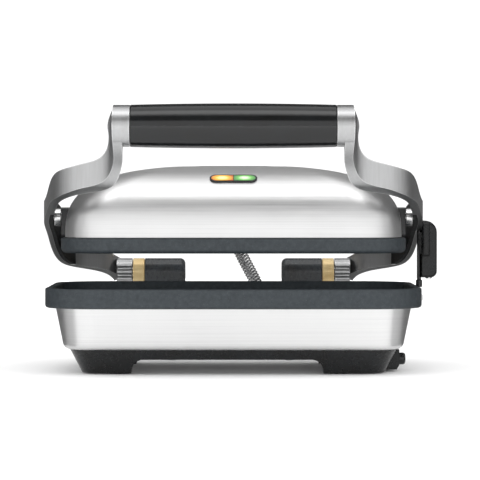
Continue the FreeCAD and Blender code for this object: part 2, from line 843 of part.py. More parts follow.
def arm_bores(title, side):
    """Everything cut from an arm: hinge, pivot, grip rod and, on the right, the guide."""
    hinge_start = "85" if side > 0 else "-1 * ( barrel_out - 1 )"
    pivot_start = "150" if side > 0 else "-190"
    grip_start = "85" if side > 0 else "-115"
    tools = [
        cylinder(f"{title}HingeBore", "hinge_pin + bore_gap", "barrel_out - 86", hinge_start,
                 "axis_back", "axis_high", ALONG_X),
        cylinder(f"{title}PivotBore", "pivot_pin", "40", pivot_start, "pivot_back",
                 "pivot_high", ALONG_X),
        cylinder(f"{title}ScrewBore", "2.5", "30", grip_start, "grip_back", "grip_high",
                 ALONG_X),
        box(f"{title}BushRoom", "86" if side > 0 else "-1 * ( bush_out + side_gap )", "100",
            "60", "bush_out + side_gap - 86", "80", "60"),
        cylinder(f"{title}RodSeat", "grip_rod", "grip_long / 2 + collar_long - 80",
                 "80" if side > 0 else "-1 * ( grip_long / 2 + collar_long )", "grip_back",
                 "grip_high", ALONG_X),
    ]
    if side > 0:
        tools.append(box("GuideGroove", "stem_out - stem_radius - 0.4", "setter_back - 2.4",
                         "90", "10", "4.8", "80"))
    return fuse(f"{title}Bores", tools)


def grip():
    """Crowned black sleeve on a steel rod, with a screw through each arm into the rod."""
    body = new_body("GripSleeve")
    profile = new_sketch(body, "SleeveProfile", "XZ_Plane")
    half = size("grip_long / 2")
    low, end, mid = size("grip_rod"), size("grip_end_radius"), size("grip_mid_radius")
    for one, two in (((-half, low), (half, low)), ((half, low), (half, end)),
                     ((-half, end), (-half, low))):
        profile.addGeometry(Part.LineSegment(Vector(*one), Vector(*two)))
    profile.addGeometry(Part.Arc(Vector(half, end), Vector(0, mid), Vector(-half, end)))
    turned = body.newObject("PartDesign::Revolution", "SleeveTurned")
    turned.Profile = profile
    turned.ReferenceAxis = (profile, ["H_Axis"])
    turned.Angle = 360
    doc.recompute()
    fillet(body, "1", is_ring_over(end - 0.1))
    place(body, y="grip_back", z="grip_high")
    keep(body, "grip_sleeve")
    reach = "grip_long / 2 + collar_long"
    rod = cylinder("GripRodBar", "grip_rod", f"2 * ( {reach} )", f"-1 * ( {reach} )",
                   "grip_back", "grip_high", ALONG_X)
    hole = cylinder("GripRodHole", "2.5", f"2 * ( {reach} )", f"-1 * ( {reach} )",
                    "grip_back", "grip_high", ALONG_X)
    keep(cut("GripRod", rod, hole), "grip_rod")
    screws = []
    for side in (-1, 1):
        face = size(reach) + size("arm_thick")
        start = face if side > 0 else -face - 1.6
        head = cylinder("GripScrewHead", "5.5", "1.6", str(start), "grip_back", "grip_high",
                        ALONG_X)
        start = size(reach) - 15 if side > 0 else -face
        shank = cylinder("GripScrewShank", "2.5", "15 + arm_thick", str(start), "grip_back",
                         "grip_high", ALONG_X)
        screws.append(fuse("GripScrew", [head, shank]))
    keep(group("GripScrews", screws), "grip_screws")


def pivots(hood):
    """Side pins that carry the upper unit, and the blocks on the hood that they turn in."""
    for side, word in ((-1, "left"), (1, "right")):
        start = "147" if side > 0 else "-175"
        pin = cylinder("PivotPin", "pivot_pin", "28", start, "pivot_back", "pivot_high",
                       ALONG_X)
        start = "pivot_out + 0.4" if side > 0 else "-1 * ( pivot_out + 7.4 )"
        shoulder = cylinder("PivotShoulder", "pivot_shoulder", "7", start, "pivot_back",
                            "pivot_high", ALONG_X)
        soft = rounded("PivotShoulderSoft", shoulder, "0.8", is_ring_over(7))
        keep(fuse("PivotPinWhole", [pin, soft]), f"pivot_pin_{word}")
        start = "pivot_out - 7.7" if side > 0 else "-1 * pivot_out"
        low = "upper_bottom + upper_high + 0.2"
        block = box("PivotBlockBody", start, "pivot_back - 10", low, "7.7", "20",
                    f"pivot_high + 9 - ( {low} )")
        soft = rounded("PivotBlockSoft", block, "2.5", runs_along_x)
        hole = cylinder("PivotBlockHole", "pivot_pin + bore_gap", "20",
                        "145" if side > 0 else "-165", "pivot_back", "pivot_high", ALONG_X)
        keep(cut("PivotBlock", cut("PivotBlockSeated", soft, hood), hole),
             f"pivot_block_{word}")


def runs_along_x(edge):
    span = edge.BoundBox
    return span.XLength > 2 and span.YLength < 0.01 and span.ZLength < 0.01


# ---------------------------------------------------------------- upper unit

# The hood is a superellipse of power 3 from the side and from the front. These angles, in
# degrees, place its level sections from the rim to the nearly flat top.
HOOD_ANGLES = [0, 3, 10, 20, 30, 40, 50, 60, 70, 80, 85]
HOOD_POWER = 3


def hood_section(angle):
    """Height and narrowing of the hood at an angle, each as a fraction of its full size."""
    turn = math.radians(angle)
    return math.sin(turn) ** (2 / HOOD_POWER), math.cos(turn) ** (2 / HOOD_POWER)


def hood_loft(body, kind, inset):
    """Loft through similar rounded rectangles, some way inside the hood's outer surface."""
    sections = []
    for angle in HOOD_ANGLES:
        rise, share = hood_section(angle)
        level = f"upper_bottom + upper_high + {rise} * ( hood_high - {inset} )"
        sketch = new_sketch(body, f"{kind}Section", offset=level)
        wide = f"{share} * ( hood_wide - 2 * {inset} )"
        deep = f"{share} * ( hood_deep - 2 * {inset} )"
        add_rectangle(sketch, wide, deep, f"{share} * ( hood_corner - {inset} )", "pivot_back")
        sketch.Visibility = False
        sections.append(sketch)
    loft = body.newObject(f"PartDesign::{kind}Loft", f"Hood{kind}")
    loft.Profile = sections[0]
    loft.Sections = sections[1:]
    loft.Ruled = False
    doc.recompute()
    return loft


def top_cover():
    """Domed steel hood, open below, pierced for pivots, conduit and indicator lights."""
    body = new_body("Hood")
    hood_loft(body, "Additive", "0")
    hood_loft(body, "Subtractive", "hood_wall")
    rear = size("pivot_back + hood_deep / 2")
    tools = [
        cylinder("HoodPivotHole", "pivot_pin + 0.5", "330", "-165", "pivot_back",
                 "pivot_high", ALONG_X),
        cylinder("HoodConduitHole", "conduit_radius + 3.5", "30", "hood_conduit_side",
                 str(rear - 20), "hood_conduit_high", ALONG_Y),
        light_slot("HoodLightHole", "lens_wide + 3", "lens_high + 3", "12", -9),
    ]
    return keep(cut("TopCover", body, fuse("HoodHoles", tools)), "top_cover")


def light_frame(lift):
    """Where the lights sit: middle of their window on the hood's front slope, facing out."""
    base, tall, half = size("upper_bottom + upper_high"), size("hood_high"), size("hood_deep / 2")
    rise = (size("light_high") - base) / tall
    share = (1 - rise ** HOOD_POWER) ** (1 / HOOD_POWER)
    run = half * (rise / share) ** (HOOD_POWER - 1)
    turn = Rotation(Vector(1, 0, 0), math.degrees(math.atan2(tall, run)))
    middle = Vector(0, size("pivot_back") - half * share, size("light_high"))
    return Placement(middle + turn.multVec(Vector(0, 0, lift)), turn)


def light_slot(name, wide, high, deep, lift, left=None, right=None):
    """Prism with round ends, set square to the hood's slope; left and right trim it."""
    a, r = size(wide) / 2, size(high) / 2
    start = -a if left is None else left
    end = a if right is None else right
    sketch = doc.addObject("Sketcher::SketchObject", f"{name}Outline")
    for level in (-r, r):
        near, far = max(start, -a + r), min(end, a - r)
        sketch.addGeometry(Part.LineSegment(Vector(near, level), Vector(far, level)))
    for side, stop in ((-1, left), (1, right)):
        if stop is None:
            circle = Part.Circle(Vector(side * (a - r), 0), Vector(0, 0, 1), r)
            turn = math.radians(-90 if side > 0 else 90)
            sketch.addGeometry(Part.ArcOfCircle(circle, turn, turn + math.pi))
        else:
            sketch.addGeometry(Part.LineSegment(Vector(stop, -r), Vector(stop, r)))
    sketch.Placement = light_frame(lift)
    return extrusion(name, sketch, sketch.Placement.Rotation.multVec(Vector(0, 0, 1)), deep)


def indicator_lights():
    """Bezel in the hood, an amber and a green lens in it, and a lamp behind each."""
    rim = light_slot("BezelBody", "lens_wide + 3", "lens_high + 3", "6", -4.6)
    window = light_slot("BezelWindow", "lens_wide", "lens_high", "12", -8)
    keep(cut("LightBezel", rim, window), "light_bezel")
    keep(light_slot("PowerLens", "lens_wide", "lens_high", "lens_deep", -1.4, right=-0.2),
         "power_light_lens")
    keep(light_slot("ReadyLens", "lens_wide", "lens_high", "lens_deep", -1.4, left=0.2),
         "ready_light_lens")
    frame = light_frame(-8)
    lamps = []
    for side in (-1, 1):
        lamp = doc.addObject("Part::Cylinder", "Lamp")
        lamp.setExpression("Radius", bound("lamp_radius"))
        lamp.Height = 6
        spot = frame.multVec(Vector(side * size("lens_wide") / 4, 0, 0))
        lamp.Placement = Placement(spot, frame.Rotation)
        lamps.append(lamp)
    keep(group("IndicatorLamps", lamps), "indicator_lamps")


def upper_plate():
    """Cast grill plate: ribs run front to back on its underside."""
    body = new_body("UpperPlate")
    outline = new_sketch(body, "UpperOutline", offset="upper_bottom")
    add_rectangle(outline, "upper_wide", "upper_deep", "upper_corner", "pivot_back")
    pad(body, outline, "upper_high")
    fillet(body, "upper_round", level_at(size("upper_bottom")))
    fillet(body, "edge_round", level_at(size("upper_bottom + upper_high")))
    recess = new_sketch(body, "UpperRecess", offset="upper_bottom + upper_high")
    wall = "2 * upper_wall"
    add_rectangle(recess, f"upper_wide - {wall}", f"upper_deep - {wall}",
                  "upper_corner - upper_wall", "pivot_back")
    pocket(body, recess, "upper_high - upper_floor")
    for x, y in hood_screw_spots():
        add_boss(body, x, y)
    grooves = new_sketch(body, "GrooveEnds", "XZ_Plane", "-1 * pivot_back")
    low, deep = size("upper_bottom"), size("rib_high")
    pitch = size("rib_pitch")
    count = int(size("upper_wide - 40") / pitch)
    for i in range(count):
        x = (i - (count - 1) / 2) * pitch
        add_outline(grooves, [(x - 4, low - 1), (x + 4, low - 1),
                              (x + 2.6, low + deep), (x - 2.6, low + deep)])
    pocket(body, grooves, "upper_deep - 2 * upper_round - 6", both=True)
    keep(body, "upper_plate")


def add_boss(body, x, y):
    """Round boss on the recess floor, for a screw."""
    boss = new_sketch(body, "Boss", offset="upper_bottom + upper_floor")
    add_circle(boss, str(x), str(y), "6")
    pad(body, boss, "upper_high - upper_floor")


def hood_screw_spots():
    return [(x, y) for x in (-138, 138) for y in (-58, 78)]


def hood_screws():
    """Four screws that hold the hood down to the upper plate, hidden inside it."""
    screws = []
    base = size("upper_bottom + upper_high")
    for x, y in hood_screw_spots():
        boss = cylinder("HoodScrewHead", "3.6", "2", str(x), str(y), str(base + 6))
        post = cylinder("HoodScrewPost", "2", "6", str(x), str(y), str(base))
        screws.append(fuse("HoodScrew", [boss, post]))
    keep(group("HoodScrews", screws), "hood_screws")


# ---------------------------------------------------------------- height setter


def outer_corner_at(x, z):
    """A test for the edge that runs front to back through a corner of a profile."""

    def picks(edge):
        span = edge.BoundBox
        return span.YLength > 5 and abs(span.XMax - x) < 0.01 and abs(span.ZMax - z) < 0.01

    return picks


def height_setter():
    """Stem that runs in the arm's groove, and the paddle that the user moves it by."""
    x, y = "stem_out", "setter_back"
    rod = cylinder("StemRod", "stem_radius", "54", x, y, "stem_bottom")
    disc = cylinder("StemFootDisc", "stem_foot", "7", x, y, "stem_bottom")
    foot = rounded("StemFoot", disc, "0.8", is_ring_over(size("stem_foot - 0.1")))
    neck = box("StemNeck", "stem_out", "setter_back - 1.8", "106", "paddle_in - stem_out",
               "3.6", "20")
    keep(fuse("HeightStem", [rod, foot, neck]), "height_stem")
    body = new_body("HeightPaddle")
    profile = new_sketch(body, "PaddleProfile", "XZ_Plane", "-1 * setter_back")
    near, far = size("paddle_in"), size("paddle_out")
    low, high = size("paddle_bottom"), size("paddle_top")
    add_outline(profile, [(near, low), (far, low), (far, high), (near, high)])
    pad(body, profile, "paddle_deep", both=True)
    fillet(body, "11", outer_corner_at(far, high))
    fillet(body, "6", outer_corner_at(far, low))
    fillet(body, "2.5", lambda edge: edge.BoundBox.YLength < 0.01
           and edge.BoundBox.XMax > near + 1)
    front = size("setter_back - paddle_deep / 2")
    cheek = box("PaddleCheek", "paddle_in", str(front - 3), "paddle_top - 33", "7", "6", "31")
    soft = rounded("PaddleCheekSoft", cheek, "2",
                   lambda edge: edge.BoundBox.YMax < front - 2.9)
    keep(fuse("HeightPaddle", [body, soft]), "height_paddle")
    head = cylinder("PaddleScrewHead", "3", "1.5", "( paddle_in + paddle_out ) / 2",
                    "setter_back", "paddle_bottom - 1.5")
    keep(head, "paddle_screw")


# ---------------------------------------------------------------- conduit


def conduit():
    """Steel conduit from inside the base, round behind the rim, and into the hood."""
    low_x, low_z = size("conduit_side"), size("conduit_low")
    high_x, high_z = size("hood_conduit_side"), size("hood_conduit_high")
    points = [
        (low_x, 97, low_z), (low_x, 134, low_z), (26.2, 150, 68),
        (4.4, 150, 108), (high_x, 138, high_z), (high_x, 102, high_z),
    ]
    keep(tube("Conduit", points, "conduit_radius", size("conduit_bend")), "conduit")


def build():
    lower_plate()
    shell = base_shell()
    cover = bottom_cover()
    rubber_feet()
    bottom_cover_screws()
    heater("lower_heating_element", 118, 78, 55.6)
    shield("lower_heat_shield", 276, 176, 44, 8, open_up=True)
    thermostat("lower_thermostat", -60, 40, 27)
    thermal_fuse()
    terminal_block()
    gland("cord_gland", "cord_side", 106.6, "cord_low", "4", "9", shell)
    gland("lower_conduit_gland", "conduit_side", 107.5, "conduit_low", "conduit_radius",
          "conduit_radius + 3.8", shell)
    hinge_brackets()
    height_rest_tab()
    storage_latch(cover)
    hinge_pins()
    arms()
    grip()
    hood = top_cover()
    pivots(hood)
    indicator_lights()
    upper_plate()
    hood_screws()
    heater("upper_heating_element", 108, 70, 121.6, size("pivot_back"))
    shield("upper_heat_shield", 260, 164, 126, 6, open_up=False)
    thermostat("upper_thermostat", 60, 20, 132.5)
    gland("upper_conduit_gland", "hood_conduit_side", 112.6, "hood_conduit_high",
          "conduit_radius + 0.3", "conduit_radius + 5", hood)
    height_setter()
    conduit()


def check():
    """Stop if the document holds a failed feature or a bad shape."""
    doc.recompute()
    for item in doc.Objects:
        if {"Invalid", "Error"} & set(item.State):
            raise RuntimeError(f"{item.Name} failed: {item.State}")
    bad = [p.Label for p in pieces if p.Shape.isNull() or not p.Shape.isValid()]
    if bad:
        raise RuntimeError(f"no valid shape: {bad}")


build()
check()
for piece in pieces:
    piece.Shape.exportStep(f"parts/{piece.Label}.step")
    print(piece.Label, round(piece.Shape.Volume), len(piece.Shape.Solids))
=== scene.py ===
"""Looks of the panini press: materials, small parts, conduit, studio and camera."""
import math

import bmesh
import bpy
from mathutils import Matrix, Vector


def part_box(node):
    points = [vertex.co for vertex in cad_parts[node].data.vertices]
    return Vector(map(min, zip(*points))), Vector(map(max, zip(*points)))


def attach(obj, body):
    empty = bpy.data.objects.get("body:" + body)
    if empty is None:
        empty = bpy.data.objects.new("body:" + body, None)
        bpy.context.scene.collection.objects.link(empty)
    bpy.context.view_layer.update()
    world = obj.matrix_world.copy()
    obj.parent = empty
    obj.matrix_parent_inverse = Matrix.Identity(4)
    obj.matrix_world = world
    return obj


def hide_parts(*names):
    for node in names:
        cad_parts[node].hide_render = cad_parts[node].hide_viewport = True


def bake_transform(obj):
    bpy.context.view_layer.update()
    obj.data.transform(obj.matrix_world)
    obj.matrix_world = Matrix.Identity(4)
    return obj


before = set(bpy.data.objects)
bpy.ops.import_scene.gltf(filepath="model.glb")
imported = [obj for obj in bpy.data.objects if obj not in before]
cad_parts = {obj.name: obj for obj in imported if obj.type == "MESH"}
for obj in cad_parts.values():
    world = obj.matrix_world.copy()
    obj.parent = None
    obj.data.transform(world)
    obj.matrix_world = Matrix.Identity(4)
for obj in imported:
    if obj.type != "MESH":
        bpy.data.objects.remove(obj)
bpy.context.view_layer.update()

# ---------------------------------------------------------------- materials


class Shader:
    """A Principled material, with short calls for the nodes that the materials share."""

    def __init__(self, name, **values):
        self.material = bpy.data.materials.new(name)
        self.material.use_nodes = True
        self.tree = self.material.node_tree
        self.surface = self.tree.nodes["Principled BSDF"]
        self.set(**values)
        coordinates = self.node("ShaderNodeTexCoord")
        self.place = coordinates.outputs["Object"]
        self.normal = coordinates.outputs["Normal"]

    def set(self, **values):
        for name, value in values.items():
            self.surface.inputs[name.replace("_", " ")].default_value = value

    def node(self, kind, **inputs):
        made = self.tree.nodes.new(kind)
        for name, value in inputs.items():
            socket = made.inputs[name.replace("_", " ")]
            if isinstance(value, bpy.types.NodeSocket):
                self.tree.links.new(value, socket)
            else:
                socket.default_value = value
        return made

    def stretched(self, x, y, z):
        """Object coordinates, scaled along each axis."""
        made = self.node("ShaderNodeMapping", Vector=self.place)
        made.inputs["Scale"].default_value = (x, y, z)
        return made.outputs["Vector"]

    def noise(self, scale, detail=3.0, rough=0.55, place=None):
        made = self.node("ShaderNodeTexNoise", Scale=scale, Detail=detail, Roughness=rough,
                         Vector=place or self.place)
        return made.outputs["Fac"]

    def cells(self, scale):
        made = self.node("ShaderNodeTexVoronoi", Scale=scale, Vector=self.place)
        return made.outputs["Distance"]

    def ramp(self, value, *stops):
        """Map a value through (position, colour or grey) stops."""
        made = self.node("ShaderNodeValToRGB", Fac=value)
        band = made.color_ramp
        while len(band.elements) < len(stops):
            band.elements.new(0.5)
        for element, (position, tone) in zip(band.elements, stops):
            element.position = position
            grey = isinstance(tone, (int, float))
            element.color = (tone, tone, tone, 1) if grey else (*tone, 1)
        return made.outputs["Color"]

    def math(self, kind, one, two):
        made = self.node("ShaderNodeMath")
        made.operation = kind
        for socket, value in zip(made.inputs, (one, two)):
            if isinstance(value, bpy.types.NodeSocket):
                self.tree.links.new(value, socket)
            else:
                socket.default_value = value
        return made.outputs["Value"]

    def added(self, one, two):
        """Sum of two colours."""
        made = self.node("ShaderNodeMix")
        made.data_type = "RGBA"
        made.blend_type = "ADD"
        made.inputs["Factor"].default_value = 1.0
        self.tree.links.new(one, made.inputs["A"])
        self.tree.links.new(two, made.inputs["B"])
        return made.outputs["Result"]

    def edge_highlight_mask(self, radius):
        """How far the surface turns within a radius: 0 on a flat face, more along an edge; it masks
        a painted edge highlight.
        """
        flat = self.node("ShaderNodeNewGeometry").outputs["Normal"]
        soft = self.node("ShaderNodeBevel", Radius=radius).outputs["Normal"]
        apart = self.node("ShaderNodeVectorMath")
        apart.operation = "DISTANCE"
        self.tree.links.new(flat, apart.inputs[0])
        self.tree.links.new(soft, apart.inputs[1])
        return apart.outputs["Value"]

    def feed(self, socket, value):
        self.tree.links.new(value, self.surface.inputs[socket])

    def bump(self, height, strength, depth):
        """Relief of that depth in metres; a second call adds to the first."""
        made = self.node("ShaderNodeBump", Height=height, Strength=strength, Distance=depth)
        before = self.surface.inputs["Normal"].links
        if before:
            self.tree.links.new(before[0].from_socket, made.inputs["Normal"])
        self.tree.links.new(made.outputs["Normal"], self.surface.inputs["Normal"])


def brushed_steel(name, tone=0.76, rough=0.36, wrapped=False):
    """Stainless sheet. The brush lines run along X over the top, or level round a wrapped side."""
    steel = Shader(name, Metallic=1.0, Anisotropic=0.55)
    across = steel.node("ShaderNodeTangent")
    across.direction_type = "RADIAL"
    across.axis = "Z" if wrapped else "X"
    steel.feed("Tangent", across.outputs["Tangent"])
    steel.set(Anisotropic_Rotation=0.25 if wrapped else 0.0)
    level = steel.noise(1.0, 5.0, 0.65, steel.stretched(5.0, 5.0, 1100.0))
    if wrapped:
        lines = level
    else:
        over = steel.noise(1.0, 5.0, 0.65, steel.stretched(5.0, 1100.0, 5.0))
        facing = steel.node("ShaderNodeSeparateXYZ", Vector=steel.normal).outputs["Y"]
        front = steel.ramp(steel.math("ABSOLUTE", facing, 0.0), (0.55, 0.0), (0.8, 1.0))
        lines = steel.math("ADD", steel.math("MULTIPLY", level, front), steel.math(
            "MULTIPLY", over, steel.math("SUBTRACT", 1.0, front)))
    clouds = steel.noise(11.0, 3.0, 0.5)
    mixed = steel.math("ADD", steel.math("MULTIPLY", lines, 0.65),
                       steel.math("MULTIPLY", clouds, 0.35))
    steel.feed("Base Color", steel.ramp(
        mixed, (0.28, tone - 0.10), (0.5, tone), (0.72, (tone + 0.045, tone + 0.045, tone + 0.04))))
    steel.feed("Roughness", steel.ramp(lines, (0.25, rough - 0.07), (0.75, rough + 0.08)))
    steel.bump(lines, 0.14, 0.00005)
    return steel.material


def cast_coating(name):
    """Charcoal non-stick coat with an orange-peel face and fine pale flecks."""
    coat = Shader(name, Metallic=0.0, Specular_IOR_Level=0.42)
    flecks = coat.cells(760.0)
    clouds = coat.noise(240.0, 4.0, 0.7)
    base = coat.ramp(clouds, (0.32, (0.017, 0.022, 0.026)), (0.68, (0.030, 0.037, 0.042)))
    spot = coat.ramp(flecks, (0.0, 0.11), (0.16, 0.0))
    coat.feed("Base Color", coat.added(base, spot))
    coat.feed("Roughness", coat.ramp(coat.noise(300.0), (0.3, 0.40), (0.7, 0.54)))
    coat.bump(coat.noise(620.0, 2.0), 0.35, 0.00012)
    return coat.material


def satin_metal(name, tone=0.50, rough=0.36, metallic=1.0):
    """Casting with an upright grain and a painted highlight along its edges; less metallic when
    asked.
    """
    metal = Shader(name, Metallic=metallic)
    grain = metal.noise(1.0, 4.0, 0.6, metal.stretched(520.0, 520.0, 30.0))
    clouds = metal.noise(14.0, 3.0)
    # Painted highlight: the base colour is lightened where the surface turns along an edge.
    edge = metal.edge_highlight_mask(0.0011)
    painted_edge_highlight = metal.ramp(edge, (0.02, 0.0), (0.16, 0.24))
    shade = metal.math("ADD", metal.math("MULTIPLY", grain, 0.7),
                       metal.math("MULTIPLY", clouds, 0.3))
    body = metal.ramp(shade, (0.3, tone - 0.06), (0.7, (tone + 0.03, tone + 0.035, tone + 0.04)))
    metal.feed("Base Color", metal.added(body, painted_edge_highlight))
    metal.feed("Roughness", metal.ramp(grain, (0.2, rough - 0.05), (0.8, rough + 0.08)))
    metal.bump(grain, 0.22, 0.00008)
    return metal.material


def bright_metal(name, tone=0.80, rough=0.18):
    """Turned or plated metal with faint tool marks."""
    metal = Shader(name, Metallic=1.0)
    marks = metal.noise(600.0, 2.0, 0.5, metal.stretched(3.0, 1.0, 1.0))
    metal.feed("Base Color", metal.ramp(marks, (0.3, tone - 0.06), (0.7, tone)))
    metal.feed("Roughness", metal.ramp(marks, (0.3, rough - 0.04), (0.7, rough + 0.06)))
    metal.bump(marks, 0.08, 0.00004)
    return metal.material


def bronze(name):
    """Warm turned bush with fine lathe rings; mostly non-metallic, so that it stays bright."""
    metal = Shader(name, Metallic=0.2)
    rings = metal.noise(1.0, 2.0, 0.5, metal.stretched(5200.0, 2.0, 2.0))
    clouds = metal.noise(70.0, 3.0)
    metal.feed("Base Color", metal.ramp(clouds, (0.3, (0.93, 0.66, 0.30)),
                                        (0.7, (1.00, 0.78, 0.42))))
    metal.feed("Roughness", metal.ramp(rings, (0.3, 0.27), (0.7, 0.33)))
    metal.bump(rings, 0.04, 0.00002)
    return metal.material


def black_moulding(name, tone=0.016, rough=0.42, grain=420.0, depth=0.00012):
    """Moulded plastic with a fine spark-eroded grain."""
    plastic = Shader(name, Specular_IOR_Level=0.5)
    leather = plastic.cells(grain)
    clouds = plastic.noise(30.0, 3.0)
    plastic.feed("Base Color", plastic.ramp(
        clouds, (0.3, tone), (0.7, (tone * 1.35, tone * 1.45, tone * 1.55))))
    plastic.feed("Roughness", plastic.ramp(leather, (0.0, rough + 0.08), (0.6, rough - 0.05)))
    plastic.bump(leather, 0.3, depth)
    return plastic.material


def gloss_black(name, tone=0.006, rough=0.16, level=0.42, soft=0.0006):
    """Polished plastic with the faintest waviness and softened edges."""
    plastic = Shader(name, Specular_IOR_Level=level)
    plastic.feed("Normal", plastic.node("ShaderNodeBevel", Radius=soft).outputs["Normal"])
    waves = plastic.noise(60.0, 2.0)
    plastic.feed("Base Color", plastic.ramp(
        waves, (0.3, tone), (0.7, (tone * 1.3, tone * 1.45, tone * 1.6))))
    plastic.feed("Roughness", plastic.ramp(
        plastic.noise(250.0), (0.3, rough - 0.04), (0.7, rough + 0.04)))
    plastic.bump(waves, 0.04, 0.0002)
    return plastic.material


def lit_lens(name, centre, core, body, rim, glow):
    """Moulded lens lit from behind: brightest over its lamp, fading to a deep rim."""
    lens = Shader(name, Coat_Weight=0.4, Coat_Roughness=0.08, Roughness=0.3)
    spot = lens.node("ShaderNodeMapping", Vector=lens.place)
    reach = 0.0105
    spot.vector_type = "TEXTURE"
    spot.inputs["Location"].default_value = centre
    spot.inputs["Scale"].default_value = (reach, reach * 0.6, reach * 0.6)
    ball = lens.node("ShaderNodeTexGradient", Vector=spot.outputs["Vector"])
    ball.gradient_type = "SPHERICAL"
    ripple = lens.math("MULTIPLY", lens.cells(700.0), 0.10)
    level = lens.math("ADD", ball.outputs["Fac"], ripple)
    stops = [(0.05, rim), (0.42, body), (0.86, core)]
    # The base colour is a dimmer copy of the glow: a painted pool of light over the lamp.
    dim_stops = [(position, tuple(0.5 * part for part in tone)) for position, tone in stops]
    lens.feed("Base Color", lens.ramp(level, *dim_stops))
    lens.feed("Emission Color", lens.ramp(level, *stops))
    lens.set(Emission_Strength=glow)
    lens.bump(lens.cells(900.0), 0.15, 0.0001)
    return lens.material


def rubber(name):
    """Soft pad with faint dusty patches."""
    pad = Shader(name, Specular_IOR_Level=0.3)
    dust = pad.noise(120.0, 4.0)
    pad.feed("Base Color", pad.ramp(dust, (0.35, 0.012), (0.75, 0.035)))
    pad.feed("Roughness", pad.ramp(dust, (0.3, 0.75), (0.7, 0.9)))
    pad.bump(pad.noise(900.0), 0.3, 0.0001)
    return pad.material


def ceramic(name):
    """Glazed steatite."""
    body = Shader(name, Coat_Weight=0.4, Coat_Roughness=0.15)
    clouds = body.noise(80.0, 3.0)
    body.feed("Base Color", body.ramp(clouds, (0.3, (0.72, 0.69, 0.62)),
                                      (0.7, (0.84, 0.82, 0.76))))
    body.feed("Roughness", body.ramp(clouds, (0.3, 0.3), (0.7, 0.45)))
    body.bump(clouds, 0.1, 0.0002)
    return body.material


def lens_middle(node):
    low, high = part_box(node)
    return (low + high) / 2


HOOD_STEEL = brushed_steel("steel_hood_brushed", tone=0.80)
BASE_STEEL = brushed_steel("steel_base_brushed", tone=0.80, wrapped=True)
COATING = cast_coating("cast_plate_coating")
SATIN = satin_metal("arm_metal_satin")
BRIGHT = bright_metal("bright_metal_turned")
BRONZE = bronze("bronze_bush")
MOULDING = black_moulding("black_moulding_grained")
LINER = black_moulding("black_liner_textured", tone=0.010, rough=0.5, grain=260.0,
                       depth=0.0004)
SLEEVE = satin_metal("hinge_sleeve_satin", tone=0.76, rough=0.30, metallic=0.2)
GLOSS = gloss_black("gloss_black_grip", tone=0.005, level=0.5)
ENAMEL = gloss_black("bracket_enamel", tone=0.050, rough=0.28, level=0.5, soft=0.0012)
SHINY = gloss_black("gloss_black_moulding", tone=0.006, rough=0.26, level=0.30, soft=0.0012)
RUBBER = rubber("rubber_pad")
CERAMIC = ceramic("ceramic_glazed")
SHEATH = brushed_steel("heater_sheath", tone=0.34, rough=0.42)
SHIELD = bright_metal("heat_shield_sheet", tone=0.72, rough=0.24)
AMBER = lit_lens("amber_lens_lit", lens_middle("power_light_lens"), (1.0, 0.86, 0.45),
                 (0.80, 0.42, 0.03), (0.42, 0.10, 0.02), 0.95)
GREEN = lit_lens("green_lens_lit", lens_middle("ready_light_lens"), (0.78, 0.98, 0.66),
                 (0.13, 0.42, 0.08), (0.05, 0.16, 0.06), 0.95)

FINISHES = {
    "base_shell": BASE_STEEL,
    "top_cover": HOOD_STEEL,
    "bottom_cover": SHINY,
    "rubber_feet": RUBBER,
    "bottom_cover_screws": BRIGHT,
    "lower_plate": COATING,
    "upper_plate": COATING,
    "lower_heating_element": SHEATH,
    "upper_heating_element": SHEATH,
    "lower_heat_shield": SHIELD,
    "upper_heat_shield": SHIELD,
    "lower_thermostat": CERAMIC,
    "upper_thermostat": CERAMIC,
    "thermal_fuse": BRIGHT,
    "terminal_block": CERAMIC,
    "cord_gland": MOULDING,
    "lower_conduit_gland": MOULDING,
    "upper_conduit_gland": MOULDING,
    "hinge_bracket_left": ENAMEL,
    "hinge_bracket_right": ENAMEL,
    "height_rest_tab": BRIGHT,
    "latch_housing": SHINY,
    "storage_latch_button": GLOSS,
    "conduit": BRIGHT,
    "hinge_pin_left": BRIGHT,
    "hinge_pin_right": BRIGHT,
    "hinge_bush_left": BRONZE,
    "hinge_bush_right": BRONZE,
    "left_arm": SATIN,
    "right_arm": SATIN,
    "left_arm_liner": LINER,
    "right_arm_liner": LINER,
    "grip_sleeve": GLOSS,
    "grip_rod": BRIGHT,
    "grip_screws": BRIGHT,
    "pivot_pin_left": BRIGHT,
    "pivot_pin_right": BRIGHT,
    "pivot_block_left": MOULDING,
    "pivot_block_right": MOULDING,
    "light_bezel": GLOSS,
    "power_light_lens": AMBER,
    "ready_light_lens": GREEN,
    "indicator_lamps": CERAMIC,
    "hood_screws": BRIGHT,
    "height_stem": GLOSS,
    "height_paddle": SHINY,
    "paddle_screw": BRIGHT,
}

for node, finish in FINISHES.items():
    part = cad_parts[node]
    part.data.materials.clear()
    part.data.materials.append(finish)

# ---------------------------------------------------------------- small parts

AROUND = 24  # points in a turned ring
SHARP_EDGE = math.radians(35)


def skin(spots, faces, rings, looped=False):
    """Add a closed skin over rings of equal count, with a flat face on each end."""
    first, count = len(spots), len(rings[0])
    spots.extend(spot for ring in rings for spot in ring)
    spans = len(rings) if looped else len(rings) - 1
    for i in range(spans):
        here, there = first + i * count, first + (i + 1) % len(rings) * count
        for j in range(count):
            after = (j + 1) % count
            faces.append((here + j, here + after, there + after, there + j))
    if not looped:
        faces.append(tuple(range(first + count - 1, first - 1, -1)))
        faces.append(tuple(range(len(spots) - count, len(spots))))


def add_piece(name, spots, faces, finish):
    mesh = bpy.data.meshes.new(name)
    mesh.from_pydata(spots, [], faces)
    built = bmesh.new()
    built.from_mesh(mesh)
    bmesh.ops.recalc_face_normals(built, faces=built.faces)
    built.to_mesh(mesh)
    built.free()
    mesh.shade_smooth()
    mesh.set_sharp_from_angle(angle=SHARP_EDGE)
    mesh.materials.append(finish)
    piece = bpy.data.objects.new(name, mesh)
    bpy.context.collection.objects.link(piece)
    return piece


